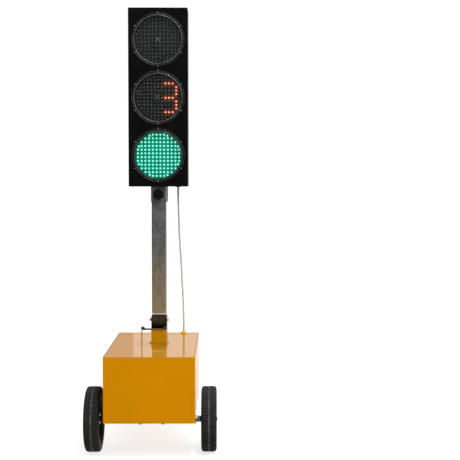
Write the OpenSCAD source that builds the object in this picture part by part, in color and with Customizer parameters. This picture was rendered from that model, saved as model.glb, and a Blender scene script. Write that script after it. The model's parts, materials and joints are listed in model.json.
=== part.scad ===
// Portable traffic light: a three-aspect LED head on a folding mast that stands on a
// two-wheeled battery trolley with two rear casters.
// Origin: on the ground, in the middle of the footprint. +X right, +Z up, and the front faces -Y.

/* [Trolley box] */
// Width of the box
box_w = 332; // [320:1:350]
// Length of the box, front to back
box_d = 620; // [600:1:660]
// Height of the box
box_h = 240; // [220:1:280]
// Gap between the ground and the box
ground_gap = 135; // [134:1:145]
// Thickness of the sheet steel
sheet = 2; // [1.5:0.5:3]
// Radius of the box's folded corners
box_corner = 3; // [2.5:0.5:6]

/* [Lid] */
// Thickness of the lid plate
lid_t = 3; // [2:0.5:4]
// Gap between the lid and the walls
lid_gap = 1.5; // [1:0.5:3]
// Length of the fixed deck behind the lid
deck_d = 40; // [36:1:50]
// Height of the lid seal
gasket_t = 6; // [6:0.5:8]
// Outside width of the mast rest on the lid
rest_w = 96; // [86:1:110]
// Height of the mast rest's steel bar above the lid
rest_h = 61.5; // [56:0.5:62]
// Distance from the box's front to the middle of the mast rest
rest_from_front = 285; // [270:1:300]

/* [Mast] */
// Wall of the mast tube
mast_wall = 2.5; // [2:0.5:4]
// Height of the fold pivot above the lid
pivot_rise = 50; // [50:1:56]
// Height of the foot casting above the pivot
foot_rise = 24; // [20:1:30]
// Height of the signal head's underside above the ground
head_base_z = 983; // [900:1:1200]

/* [Signal head] */
// Width of the head
head_w = 244; // [240:1:270]
// Height of the head
head_h = 732; // [720:1:780]
// Depth of the head, without its screw heads
head_d = 110; // [106:1:130]
// Distance between neighbouring lens centres
lens_pitch = 237; // [225:1:240]
// Diameter of the clear lens
lens_d = 198; // [190:1:200]
// Diameter of the rim around the lens
rim_d = 218; // [214:1:222]

/* [Wheels] */
// Diameter of the two large wheels
wheel_d = 242; // [236:1:250]
// Width of a large wheel
wheel_w = 57; // [50:1:58]
// Distance between the middles of the large wheels
track = 428; // [424:1:440]
// Distance from the box's front to the large wheels' axle
axle_from_front = 140; // [132:1:160]
// Diameter of a caster wheel
caster_d = 100; // [96:1:100]
// Distance between the two casters' swivel axes
caster_pitch = 220; // [210:1:224]

/* [Hidden] */
$fn = 64;
eps = 0.01;
run_gap = 0.05;

// The mast is a standard square tube, 60 mm across
mast_w = 60;

// Places along Y, from the front of the box to the back of the head
cover_t = 4;
back_screw_h = 4;
bracket_t = 3;
rear_reach = bracket_t + mast_w / 2 + head_d / 2 + back_screw_h;
front_y = -(box_d + rear_reach) / 2;
rear_y = front_y + box_d;
mast_y = rear_y + bracket_t + mast_w / 2;
axle_y = front_y + axle_from_front;
hinge_y = rear_y - deck_d - 5;
rest_y = front_y + rest_from_front;

// Heights
lid_z = ground_gap + box_h;
axle_z = wheel_d / 2;
pivot_z = lid_z + pivot_rise;
foot_top_z = pivot_z + foot_rise;
shelf_z = lid_z - lid_t - gasket_t - sheet;

// Lid, hinge and lock
shelf_w = 15;
rear_shelf = 50;
lip_h = 8;
hinge_r = 4;
hinge_pin_r = 2;
hinge_z = lid_z - hinge_r;
hinge_x = 62;
knuckle_l = 20;
notch_gap = 1;
lock_y = front_y + 70;
lock_z = lid_z - 40;
lock_r = 9.5;
cam_x = -box_w / 2 + 26;
cam_l = 30;
cam_w = 14;

// Pieces inside the box
floor_z = ground_gap + sheet;
battery_size = [198, 166, 160];
battery_y = axle_y + 30;
case_low = [20, rear_y - 240, floor_z];
case_high = [140, rear_y - 100, floor_z + 62];
switch_at = [80, rear_y - 170, case_high[2]];
rocker_r = 11;
socket_x = -100;
socket_z = 200;
socket_r = 11;
plug_r = 8;

// Mast bracket and its bolts
side_gap = 0.3;
ear_t = 2;
ear_x = mast_w / 2 + side_gap;
bracket_z = 226;
bracket_bolt_x = 18;
bracket_bolt_zs = [253, 337];
plate_t = 4;
pivot_r = 4;
bush_r = 7;
tenon_h = 60;

// Signal head
head_wall = 3;
head_y = mast_y - head_d / 2;
lens_zs = [for (i = [1, 0, -1]) head_base_z + head_h / 2 + i * lens_pitch];
hole_d = lens_d + 6;
board_y = head_y + 26;
led_d = 8;
led_h = 8;
module_d = 40;
clip_r = rim_d / 2;
post_x = head_w / 2 - 8;
post_zs = [20, (head_h - lens_pitch) / 2, (head_h + lens_pitch) / 2, head_h - 20];
sleeve_h = 64;
sleeve_t = 2;
sleeve_gap = 0.3;
sleeve_w = mast_w + 2 * (sleeve_gap + sleeve_t);
top_plate_t = 5;
head_bolt_at = 18;
mast_top_z = head_base_z - 18;
knob_z = head_base_z - 32;
knob_af = 42;
knob_l = 22;
boss_l = 5;

// Axle and large wheels
bar = 30;
shaft_r = 7.5;
bar_end = box_w / 2;
collar_r = 12;
collar_l = 13;
bearing_r = 16;
bearing_w = 9;
wheel_x = track / 2;
hub_l = 42;
nut_l = 6.5;
rim_r = 88;
axle_bolt_x = 41;

// Casters
caster_y = rear_y - 50;
caster_trail = 35;
caster_w = 32;
caster_plate = [100, 85, 4];
caster_hole_x = 40;
caster_hole_y = 30;
race_h = 8;
crown_t = 4;
crown_z = ground_gap - caster_plate[2] - race_h - side_gap - crown_t;
kingpin_r = 6;
caster_axle_r = 4;

// Cable, from the underside of the head to the gland on the deck
cable_d = 8;
gland = [104, rear_y - 20, lid_z];
gland_h = 6;
cable_route = [
    [80, 297, 981], [80, 297, 965], [80, 296, 940], [81, 293, 905], [82, 289, 865],
    [84, 285, 820], [86, 281, 770], [89, 277, 720], [93, 273, 665], [96, 268, 610],
    [99, 263, 555], [102, 258, 500], [103, 253, 455], [104, 248, 420], [104, 244, 397],
    [104, 244, 381]
];

// A rectangle with round corners, centred on the origin
module round_rect(w, h, r) {
    square([w - 2 * r, h], center = true);
    square([w, h - 2 * r], center = true);
    for (x = [-1, 1], y = [-1, 1]) {
        translate([x * (w / 2 - r), y * (h / 2 - r)]) circle(r);
    }
}

// A box given by its lowest and highest corners
module span(low, high) {
    translate(low) cube(high - low);
}

// A bar along X, Y or Z from one place to another, round unless n is given
module rod_x(r, x0, x1, n = 64) {
    translate([x0, 0, 0]) rotate([0, 90, 0]) cylinder(r = r, h = x1 - x0, $fn = n);
}

module rod_y(r, y0, y1, n = 64) {
    translate([0, y0, 0]) rotate([-90, 0, 0]) cylinder(r = r, h = y1 - y0, $fn = n);
}

module rod_z(r, z0, z1, n = 64) {
    translate([0, 0, z0]) cylinder(r = r, h = z1 - z0, $fn = n);
}

// A shape turned round the X axis from its outline of [radius, place along X]
module turned_x(points) {
    rotate([0, 90, 0]) rotate_extrude($fn = 128) polygon(points);
}

function hex_r(across_flats) = across_flats / sqrt(3);

/* ---- Trolley box ---- */

module box_outline(inset, r) {
    translate([0, (front_y + rear_y) / 2]) {
        round_rect(box_w - 2 * inset, box_d - 2 * inset, r);
    }
}

module box_shell() {
    inner = box_corner - sheet + 0.5;
    color("goldenrod") difference() {
        union() {
            difference() {
                translate([0, 0, ground_gap]) linear_extrude(box_h) box_outline(0, box_corner);
                translate([0, 0, ground_gap + sheet]) linear_extrude(box_h) {
                    box_outline(sheet, inner);
                }
            }
            box_shelf();
            span(
                [-box_w / 2 + 1, hinge_y + 5, lid_z - lid_t],
                [box_w / 2 - 1, rear_y - 1, lid_z]
            );
            // A lip that shields the gap in front of the mast's foot
            span(
                [-mast_w / 2, rear_y - sheet, lid_z - lid_t],
                [mast_w / 2, rear_y - 0.2, lid_z + lip_h]
            );
        }
        box_holes();
    }
}

// The shelf inside the rim that carries the lid's seal, deeper at the hinged end
module box_shelf() {
    y0 = front_y + 1;
    inner_x = box_w / 2 - sheet - shelf_w;
    difference() {
        span([-box_w / 2 + 1, y0, shelf_z], [box_w / 2 - 1, rear_y - 1, shelf_z + sheet]);
        span(
            [-inner_x, front_y + sheet + shelf_w, shelf_z - 1],
            [inner_x, hinge_y - rear_shelf, shelf_z + sheet + 1]
        );
    }
}

module box_holes() {
    translate([gland[0], gland[1], 0]) rod_z(8, shelf_z - 1, lid_z + 1);
    translate([0, lock_y, lock_z]) rod_x(lock_r, -box_w / 2 - 1, -box_w / 2 + 5);
    translate([socket_x, 0, socket_z]) rod_y(socket_r, rear_y - 5, rear_y + 1);
    for (x = [-1, 1], z = bracket_bolt_zs) {
        translate([x * bracket_bolt_x, 0, z]) rod_y(4.3, rear_y - 5, rear_y + 1);
    }
    for (x = [-1, 1]) {
        translate([x * axle_bolt_x, axle_y, 0]) rod_z(4.3, ground_gap - 1, ground_gap + 5);
    }
    at_caster_holes() rod_z(4.3, ground_gap - 1, ground_gap + 5);
}

module lid_gasket() {
    edge = sheet + lid_gap + 1;
    width = 10;
    inner_w = box_w - 2 * (edge + width);
    y0 = front_y + edge;
    y1 = hinge_y - 36;
    color("dimgray") translate([0, 0, shelf_z + sheet]) linear_extrude(gasket_t) difference() {
        translate([-box_w / 2 + edge, y0]) square([box_w - 2 * edge, y1 - y0]);
        translate([-inner_w / 2, y0 + width]) square([inner_w, y1 - y0 - 2 * width]);
    }
}

// The knuckle and leaf of a hinge; side is -1 towards the lid and 1 towards the deck
module leaf(knuckles, side, leaf_l) {
    difference() {
        union() {
            for (k = knuckles) {
                translate([k * knuckle_l, 0, 0]) {
                    rod_x(hinge_r, -knuckle_l / 2 + 0.2, knuckle_l / 2 - 0.2);
                    translate([-knuckle_l / 2 + 0.2, side > 0 ? 0 : -leaf_l, -1]) {
                        cube([knuckle_l - 0.4, leaf_l, 2]);
                    }
                }
            }
            span(
                [-1.5 * knuckle_l, side > 0 ? hinge_r + 1.5 : -leaf_l, -1],
                [1.5 * knuckle_l, side > 0 ? leaf_l : -hinge_r - 1.5, 1]
            );
        }
        rod_x(hinge_pin_r + run_gap, -2 * knuckle_l, 2 * knuckle_l);
    }
}

module at_hinges() {
    for (x = [-hinge_x, hinge_x]) {
        translate([x, hinge_y, hinge_z]) children();
    }
}

module hinge_box_leaves() {
    color("goldenrod") at_hinges() leaf([-1, 1], 1, 34);
}

module hinge_lid_leaves() {
    color("goldenrod") at_hinges() leaf([0], -1, 30);
}

module hinge_pins() {
    color("silver") at_hinges() rod_x(hinge_pin_r, -1.5 * knuckle_l, 1.5 * knuckle_l);
}

/* ---- Lid ---- */

module lid_panel() {
    edge = sheet + lid_gap;
    y0 = front_y + edge;
    y1 = hinge_y - 1.5;
    color("goldenrod") difference() {
        span([-box_w / 2 + edge, y0, lid_z - lid_t], [box_w / 2 - edge, y1, lid_z]);
        at_hinges() span(
            [-1.5 * knuckle_l - notch_gap, -hinge_r - notch_gap, -hinge_r],
            [1.5 * knuckle_l + notch_gap, 10, 2 * hinge_r]
        );
    }
}

// The hook under the lid that the lock's cam turns over
module lid_striker() {
    x0 = cam_x + 6;
    y0 = lock_y - 36;
    y1 = lock_y - 12;
    foot_z = lock_z - cam_w / 2 - 6;
    top_z = lid_z - lid_t;
    color("silver") union() {
        span([x0, y0, foot_z], [x0 + 2, y1, top_z]);
        span([cam_x - 4, y0, foot_z], [x0 + 1, y1, foot_z + 3]);
        span([x0 + 1, y0, top_z - 2], [x0 + 18, y1, top_z]);
    }
}

module mast_rest() {
    bar_t = 3;
    bar_w = 20;
    color("goldenrod") translate([0, rest_y + bar_w / 2, lid_z]) rotate([90, 0, 0]) {
        linear_extrude(bar_w) intersection() {
            difference() {
                round_rect(rest_w, 2 * rest_h, 5);
                square([rest_w - 2 * bar_t, 2 * (rest_h - bar_t)], center = true);
            }
            translate([-rest_w, 0]) square([2 * rest_w, 2 * rest_h]);
        }
    }
}

// A rubber saddle whose ends stand up on either side of the folded mast
module mast_rest_pad() {
    pad_w = 22;
    seat_t = 1.5;
    end_t = 9.5;
    half = rest_w / 2 + 1;
    seat = mast_w / 2 + 2;
    color("#202020") translate([0, rest_y + pad_w / 2, lid_z + rest_h]) rotate([90, 0, 0]) {
        linear_extrude(pad_w) {
            polygon([
                [-half, 0], [half, 0], [half, end_t - 3], [half - 3, end_t], [half - 6, end_t],
                [seat, seat_t], [-seat, seat_t], [6 - half, end_t], [3 - half, end_t],
                [-half, end_t - 3]
            ]);
        }
    }
}

/* ---- Lock, switch and electrics in the box ---- */

module lock_cylinder() {
    wall_x = -box_w / 2;
    color("silver") translate([0, lock_y, lock_z]) difference() {
        union() {
            rod_x(12, wall_x - 3, wall_x);
            rod_x(lock_r, wall_x - eps, cam_x - 0.3);
            rod_x(3, cam_x - 1, cam_x + 4);
        }
        span([wall_x - 4, -0.6, -4], [wall_x - 1, 0.6, 4]);
    }
}

module lock_cam() {
    color("silver") translate([0, lock_y, lock_z]) difference() {
        union() {
            rod_x(cam_w / 2, cam_x, cam_x + 3);
            span([cam_x, -cam_w / 2, 0], [cam_x + 3, cam_w / 2, cam_l]);
        }
        rod_x(3 + run_gap, cam_x - 1, cam_x + 5);
    }
}

module battery() {
    color("#303034") union() {
        span(
            [-battery_size[0] / 2, battery_y, floor_z],
            [battery_size[0] / 2, battery_y + battery_size[1], floor_z + battery_size[2]]
        );
        for (x = [-1, 1]) {
            translate([x * 78, battery_y + 22, 0]) {
                rod_z(9, floor_z + battery_size[2] - 1, floor_z + battery_size[2] + 14);
            }
        }
    }
}

module battery_strap() {
    strap_w = 30;
    y = battery_y + battery_size[1] / 2;
    top = floor_z + battery_size[2];
    x = battery_size[0] / 2 + 0.5;
    color("dimgray") difference() {
        span([-x - 22, y, floor_z], [x + 22, y + strap_w, top + 3]);
        span([-x, y - 1, ground_gap], [x, y + strap_w + 1, top + 0.5]);
        for (side = [-1, 1]) {
            span(
                [side > 0 ? x + 3 : -x - 23, y - 1, floor_z + 3],
                [side > 0 ? x + 23 : -x - 3, y + strap_w + 1, top + 4]
            );
        }
    }
}

module controller_case() {
    color("gray") difference() {
        span(case_low, case_high);
        span(switch_at - [8, 14, 12], switch_at + [8, 14, 1]);
    }
    for (y = [-14 - 5, 14 + 2]) {
        color("gray") span(switch_at + [-8, y, 0], switch_at + [8, y + 3, 2]);
    }
}

// A rocker that tips about X in the well of the controller case
module power_switch() {
    color("firebrick") translate(switch_at - [0, 0, 4]) {
        rod_x(1.5, -8 + run_gap, 8 - run_gap);
        intersection() {
            rod_x(rocker_r, -7, 7);
            span([-7, -rocker_r, -3], [7, rocker_r, 7.5]);
        }
    }
}

// A charging inlet on the rear wall, whose plug goes in from behind
module charge_socket() {
    barrel = 26;
    color("#303034") translate([socket_x, 0, socket_z]) difference() {
        union() {
            rod_y(20, rear_y, rear_y + 4);
            rod_y(15, rear_y + 4 - eps, rear_y + barrel);
            rod_y(socket_r, rear_y - 10, rear_y + eps);
        }
        rod_y(plug_r, rear_y + barrel - 20, rear_y + barrel + 1);
    }
}

module gland_box() {
    color("goldenrod") translate([gland[0], gland[1], 0]) difference() {
        union() {
            rod_z(13.5, lid_z, lid_z + 2.5);
            rod_z(12, lid_z + 2.5 - eps, lid_z + gland_h, 6);
            rod_z(8, shelf_z - 12, lid_z + eps);
        }
        rod_z(cable_d / 2, shelf_z - 13, lid_z + gland_h - 2);
    }
}

/* ---- Mast bracket, axle and casters ---- */

module mast_bracket() {
    out_x = ear_x + ear_t;
    back = mast_y + mast_w / 2 + side_gap;
    ear_top = foot_top_z - 7;
    color("#181818") difference() {
        span([-out_x, rear_y, bracket_z], [out_x, back + ear_t, ear_top]);
        span([-ear_x, rear_y + bracket_t, bracket_z + 3], [ear_x, back, ear_top + 1]);
        span([-ear_x, rear_y - 1, lid_z - 8], [ear_x, rear_y + bracket_t + 1, ear_top + 1]);
        translate([0, mast_y, pivot_z]) rod_x(pivot_r + run_gap, -out_x - 1, out_x + 1);
        for (x = [-1, 1], z = bracket_bolt_zs) {
            translate([x * bracket_bolt_x, 0, z]) rod_y(4.3, rear_y - 1, rear_y + 5);
        }
    }
}

// The backing plate inside the box wall
module bracket_plate() {
    y1 = rear_y - sheet;
    color("silver") difference() {
        span([-45, y1 - plate_t, bracket_z + 10], [45, y1, lid_z - 20]);
        for (x = [-1, 1], z = bracket_bolt_zs) {
            translate([x * bracket_bolt_x, 0, z]) rod_y(4.3, y1 - plate_t - 1, y1 + 1);
        }
    }
}

// Four bolts from inside the box, each with its own nut inside the bracket
module bracket_bolts() {
    y0 = rear_y - sheet - plate_t;
    y1 = rear_y + bracket_t;
    for (x = [-1, 1], z = bracket_bolt_zs) {
        color("silver") translate([x * bracket_bolt_x, 0, z]) {
            rod_y(hex_r(13), y0 - 5.3, y0, 6);
            rod_y(4, y0 - 1, y1 + 9);
            rod_y(hex_r(13), y1, y1 + nut_l, 6);
        }
    }
}

// The clamp bolt that the mast folds about, with its washers and nut
module mast_pivot_bolt() {
    side = ear_x + ear_t;
    color("silver") translate([0, mast_y, pivot_z]) {
        rod_x(pivot_r, -side - 11, side + 3);
        rod_x(8, side, side + 1.6);
        rod_x(hex_r(13), side + 1.6, side + 6.9, 6);
        rod_x(8, -side - 1.6, -side);
        rod_x(hex_r(13), -side - 8.1, -side - 1.6, 6);
    }
}

// A square bar under the box, turned down at its ends for the wheels
module axle_bar() {
    shoulder = wheel_x - hub_l / 2 - 0.4;
    color("#303030") difference() {
        union() {
            span(
                [-bar_end, axle_y - bar / 2, axle_z - bar / 2],
                [bar_end, axle_y + bar / 2, ground_gap]
            );
            for (side = [-1, 1]) {
                mirror([side < 0 ? 1 : 0, 0, 0]) translate([0, axle_y, axle_z]) {
                    rod_x(collar_r - 0.5, bar_end + collar_l, shoulder);
                }
            }
            translate([0, axle_y, axle_z]) rod_x(shaft_r, -wheel_x - 31, wheel_x + 31);
        }
        for (x = [-1, 1]) {
            translate([x * axle_bolt_x, axle_y, 0]) rod_z(4.2, axle_z - bar, ground_gap + 1);
        }
    }
}

// Two bolts that hold the axle bar up against the floor of the box
module axle_bolts() {
    low = axle_z - bar / 2;
    for (x = [-1, 1]) {
        color("silver") translate([x * axle_bolt_x, axle_y, 0]) {
            rod_z(hex_r(13), low - 5.3, low, 6);
            rod_z(4, low - 1, floor_z + 10);
            rod_z(hex_r(13), floor_z, floor_z + nut_l, 6);
        }
    }
}

// A nut and its washer at each end of the axle, and a split clamp collar beside the box
module axle_nuts_and_collars() {
    x0 = wheel_x + hub_l / 2 + 0.4;
    for (side = [-1, 1]) {
        color("silver") mirror([side < 0 ? 1 : 0, 0, 0]) translate([0, axle_y, axle_z]) {
            difference() {
                union() {
                    rod_x(14, x0, x0 + 1.6);
                    rod_x(hex_r(22), x0 + 1.6 - eps, x0 + 1.6 + nut_l, 6);
                }
                rod_x(shaft_r, x0 - 1, x0 + 10);
            }
            difference() {
                union() {
                    rod_x(collar_r, bar_end, bar_end + collar_l);
                    for (y = [-1, 1]) {
                        translate([bar_end + collar_l / 2, y * 9.7, 0]) rod_z(2.2, -10, 10);
                    }
                }
                rod_x(shaft_r, bar_end - 1, bar_end + collar_l + 1);
            }
        }
    }
}

module at_wheel(side) {
    translate([side * wheel_x, axle_y, axle_z]) children();
}

// A tyre with two ribs of tread, a groove between them and rounded shoulders
module tyre(side) {
    r = wheel_d / 2;
    w = wheel_w / 2;
    color("#202020") at_wheel(side) turned_x([
        [rim_r, -w + 6], [rim_r + 14, -w + 1], [r - 14, -w], [r - 6, -w + 2],
        [r - 1.5, -w + 6], [r, -w + 10], [r, -2.5], [r - 2.5, -1.5], [r - 2.5, 1.5],
        [r, 2.5], [r, w - 10], [r - 1.5, w - 6], [r - 6, w - 2], [r - 14, w],
        [rim_r + 14, w - 1], [rim_r, w - 6]
    ]);
}

module rim(side) {
    hub_r = bearing_r + 6;
    h = hub_l / 2;
    w = wheel_w / 2 - 6;
    color("#282828") at_wheel(side) difference() {
        union() {
            rod_x(hub_r, -h, h);
            turned_x([
                [hub_r - 1, -4], [rim_r - 12, -4], [rim_r - 6, -w], [rim_r, -w],
                [rim_r, w], [rim_r - 6, w], [rim_r - 12, 4], [hub_r - 1, 4]
            ]);
        }
        rod_x(bearing_r, h - bearing_w, h + 1);
        rod_x(bearing_r, -h - 1, bearing_w - h);
        rod_x(shaft_r + 3, -h, h);
        for (a = [0:60:300]) {
            rotate([a, 0, 0]) translate([0, 50, 0]) rod_x(15, -10, 10);
        }
    }
}

module bearings(side) {
    color("silver") at_wheel(side) for (x = [bearing_w - hub_l / 2, hub_l / 2]) {
        difference() {
            rod_x(bearing_r, x - bearing_w, x);
            rod_x(shaft_r + run_gap, x - bearing_w - 1, x + 1);
        }
    }
}

module tyre_left() { tyre(-1); }
module rim_left() { rim(-1); }
module bearings_left() { bearings(-1); }
module tyre_right() { tyre(1); }
module rim_right() { rim(1); }
module bearings_right() { bearings(1); }

module at_caster(side) {
    translate([side * caster_pitch / 2, caster_y, 0]) children();
}

module at_caster_holes() {
    for (side = [-1, 1], x = [-caster_hole_x, caster_hole_x], y = [-caster_hole_y, caster_hole_y]) {
        at_caster(side) translate([x, y, 0]) children();
    }
}

// The fixed plate, its bearing race and the riveted kingpin
module caster_top(side) {
    z1 = ground_gap;
    z0 = z1 - caster_plate[2];
    color("silver") at_caster(side) difference() {
        union() {
            translate([0, 0, z0]) linear_extrude(caster_plate[2]) {
                round_rect(caster_plate[0], caster_plate[1], 8);
            }
            rod_z(25, z0 - race_h, z0 + eps);
            rod_z(kingpin_r, crown_z - 5, z0);
            rod_z(kingpin_r + 4, crown_z - 5, crown_z - side_gap);
        }
        for (x = [-caster_hole_x, caster_hole_x], y = [-caster_hole_y, caster_hole_y]) {
            translate([x, y, 0]) rod_z(4.3, z0 - 1, z1 + 1);
        }
    }
}

// The crown and its two legs, which reach back to the trailing wheel
module caster_fork(side) {
    leg_x = caster_w / 2 + 2;
    axle = caster_d / 2;
    color("silver") at_caster(side) difference() {
        union() {
            translate([0, 0, crown_z]) linear_extrude(crown_t) {
                circle(24);
                translate([-leg_x - 3, 0]) square([2 * leg_x + 6, 42]);
            }
            for (x = [-leg_x - 3, leg_x]) {
                translate([x, 0, 0]) rotate([90, 0, 90]) linear_extrude(3) {
                    polygon([
                        [0, crown_z + 1], [42, crown_z + 1], [caster_trail + 11, axle],
                        [caster_trail, axle - 11], [caster_trail - 11, axle]
                    ]);
                    translate([caster_trail, axle]) circle(11);
                }
            }
        }
        rod_z(kingpin_r + run_gap, crown_z - 1, crown_z + crown_t + 1);
        translate([0, caster_trail, axle]) rod_x(caster_axle_r, -40, 40);
    }
}

module caster_axle(side) {
    out = caster_w / 2 + 5;
    color("silver") at_caster(side) translate([0, caster_trail, caster_d / 2]) {
        rod_x(caster_axle_r, -out - 8, out + 1);
        rod_x(hex_r(13), out, out + 5, 6);
        rod_x(hex_r(13), -out - 7, -out, 6);
    }
}

module caster_wheel(side) {
    r = caster_d / 2;
    w = caster_w / 2;
    bore = caster_axle_r + run_gap;
    color("#303030") at_caster(side) translate([0, caster_trail, r]) turned_x([
        [bore, -w], [14, -w], [17, -w + 3], [r - 14, -w + 3], [r - 10, -w + 1],
        [r - 4, -w + 1], [r, -w + 6], [r, w - 6], [r - 4, w - 1], [r - 10, w - 1],
        [r - 14, w - 3], [17, w - 3], [14, w], [bore, w]
    ]);
}

module caster_plate_left() { caster_top(-1); }
module caster_plate_right() { caster_top(1); }
module caster_fork_left() { caster_fork(-1); }
module caster_fork_right() { caster_fork(1); }
module caster_axle_left() { caster_axle(-1); }
module caster_axle_right() { caster_axle(1); }
module caster_wheel_left() { caster_wheel(-1); }
module caster_wheel_right() { caster_wheel(1); }

module caster_bolts() {
    low = ground_gap - caster_plate[2];
    color("silver") at_caster_holes() {
        rod_z(hex_r(13), low - 5.3, low, 6);
        rod_z(4, low - 1, floor_z + 8);
        rod_z(hex_r(13), floor_z, floor_z + nut_l, 6);
    }
}

/* ---- Mast ---- */

module mast_tube() {
    inner = mast_w - 2 * mast_wall;
    color("silver") difference() {
        translate([0, mast_y, foot_top_z]) linear_extrude(mast_top_z - foot_top_z) {
            difference() {
                round_rect(mast_w, mast_w, 5);
                round_rect(inner, inner, 3);
            }
        }
    }
}

// A casting that plugs into the tube above and turns on the pivot bolt below
module mast_foot() {
    r = mast_w / 2;
    plug = mast_w - 2 * mast_wall;
    color("#181818") translate([0, mast_y, 0]) difference() {
        union() {
            intersection() {
                translate([0, 0, pivot_z]) rod_x(r, -r, r, 96);
                span([-r, -r, pivot_z - r], [r, r, pivot_z + 1]);
            }
            translate([0, r, 0]) rotate([90, 0, 0]) linear_extrude(mast_w) {
                translate([-r, pivot_z]) square([mast_w, foot_rise - 4]);
                translate([4 - r, pivot_z]) square([mast_w - 8, foot_rise]);
                for (x = [4 - r, r - 4]) {
                    translate([x, foot_top_z - 4]) circle(4);
                }
            }
            translate([0, 0, foot_top_z - 1]) linear_extrude(tenon_h) round_rect(plug, plug, 3);
        }
        translate([0, 0, pivot_z]) rod_x(bush_r, -r - 1, r + 1);
    }
}

module mast_pivot_bush() {
    color("peru") translate([0, mast_y, pivot_z]) difference() {
        rod_x(bush_r, -mast_w / 2, mast_w / 2);
        rod_x(pivot_r + run_gap, -mast_w, mast_w);
    }
}

module at_head_bolts() {
    for (x = [-1, 1], y = [-1, 1]) {
        translate([x * head_bolt_at, y * head_bolt_at, 0]) children();
    }
}

// The sleeve that slips over the mast, its top plate and the boss for the clamp screw
module head_bracket() {
    z0 = head_base_z - sleeve_h;
    inner = mast_w + 2 * sleeve_gap;
    color("gray") translate([0, mast_y, 0]) difference() {
        union() {
            translate([0, 0, z0]) linear_extrude(sleeve_h) round_rect(sleeve_w, sleeve_w, 6);
            translate([0, 0, knob_z]) rod_y(11, -sleeve_w / 2 - boss_l, -sleeve_w / 2 + 1);
            span(
                [sleeve_w / 2 - 6, sleeve_w / 2 - 1, z0],
                [sleeve_w / 2 + 3, sleeve_w / 2 + 2, head_base_z]
            );
        }
        translate([0, 0, z0 - 1]) linear_extrude(sleeve_h - top_plate_t + 1) {
            round_rect(inner, inner, 5);
        }
        translate([0, 0, knob_z]) rod_y(5 + side_gap, -sleeve_w, 0);
        at_head_bolts() rod_z(4.3, head_base_z - 6, head_base_z + 1);
    }
}

// A hexagonal knob moulded on the clamp screw
module clamp_knob() {
    y0 = -sleeve_w / 2 - boss_l - 0.5;
    color("#181818") translate([0, mast_y, knob_z]) rotate([0, 30, 0]) {
        rod_y(hex_r(knob_af), y0 - knob_l + 3, y0 - 3, 6);
        rod_y(hex_r(knob_af) - 3, y0 - knob_l, y0, 6);
        rod_y(5, y0 - 1, -mast_w / 2 - 0.3);
    }
}

/* ---- Signal head ---- */

module at_lens(i) {
    translate([0, head_y, lens_zs[i]]) children();
}

module head_housing() {
    depth = head_d - cover_t;
    w = head_w / 2;
    color("dimgray") difference() {
        translate([0, head_y + depth, head_base_z + head_h / 2]) rotate([90, 0, 0]) {
            linear_extrude(depth) round_rect(head_w, head_h, 4);
        }
        span(
            [-w + head_wall, head_y + head_wall, head_base_z + head_wall],
            [w - head_wall, head_y + head_d, head_base_z + head_h - head_wall]
        );
        for (i = [0:2]) {
            at_lens(i) rod_y(hole_d / 2, -1, head_wall + 1, 128);
        }
        translate([0, mast_y, 0]) at_head_bolts() rod_z(4.3, head_base_z - 1, head_base_z + 5);
        translate([cable_route[0][0], mast_y, 0]) rod_z(9, head_base_z - 1, head_base_z + 5);
    }
    head_posts();
}

// The places of the screws that hold the back cover
module at_back_screws() {
    for (x = [-1, 1], z = post_zs) {
        translate([x * post_x, 0, head_base_z + z]) children();
    }
}

module head_posts() {
    y1 = head_y + head_d - cover_t;
    color("dimgray") at_back_screws() difference() {
        rod_y(7, y1 - 20, y1);
        rod_y(2.6, y1 - 15, y1 + 1);
    }
}

// The back cover, with a shallow raised panel that stiffens it
module head_back_cover() {
    y1 = head_y + head_d;
    color("dimgray") difference() {
        union() {
            translate([0, y1, head_base_z + head_h / 2]) rotate([90, 0, 0]) {
                linear_extrude(cover_t - 1) round_rect(head_w, head_h, 4);
            }
            translate([0, y1 + 3, head_base_z + head_h / 2]) rotate([90, 0, 0]) {
                linear_extrude(4) round_rect(head_w - 60, head_h - 60, 14);
            }
        }
        at_back_screws() rod_y(2.8, y1 - 6, y1 + 5);
    }
}

module head_seal() {
    y1 = head_y + head_d - cover_t + 1;
    color("#202020") translate([0, y1, head_base_z + head_h / 2]) rotate([90, 0, 0]) {
        linear_extrude(1) difference() {
            round_rect(head_w - 1, head_h - 1, 4);
            round_rect(head_w - 44, head_h - 44, 4);
            for (x = [-1, 1], z = post_zs) {
                translate([x * post_x, z - head_h / 2]) circle(3);
            }
        }
    }
}

// The back cover's screws, and the bolts that join the head to its bracket
module head_screws() {
    y1 = head_y + head_d;
    color("silver") {
        at_back_screws() {
            rod_y(2.5, y1 - 16, y1 + 1);
            rod_y(5, y1, y1 + back_screw_h);
        }
        translate([0, mast_y, head_base_z]) at_head_bolts() {
            rod_z(hex_r(13), -top_plate_t - 5.3, -top_plate_t, 6);
            rod_z(4, -top_plate_t - 1, head_wall + 10);
            rod_z(hex_r(13), head_wall, head_wall + nut_l, 6);
        }
    }
}

module head_grommet() {
    color("#202020") translate([cable_route[0][0], mast_y, 0]) difference() {
        union() {
            rod_z(9, head_base_z, head_base_z + head_wall);
            rod_z(12, head_base_z - 2, head_base_z);
            rod_z(12, head_base_z + head_wall, head_base_z + head_wall + 2);
        }
        rod_z(cable_d / 2, head_base_z - 1 + eps, head_base_z + 8);
    }
}

// Points on a shallow dome out to radius r, dome high in the middle, lifted by up
function dome_points(r, dome, up, steps) = [
    for (k = [0:len(steps) - 1])
        let (ball = (lens_d * lens_d / 4 + dome * dome) / (2 * dome), x = r * steps[k])
            [x, sqrt(ball * ball - x * x) - ball + dome + up]
];

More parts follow.
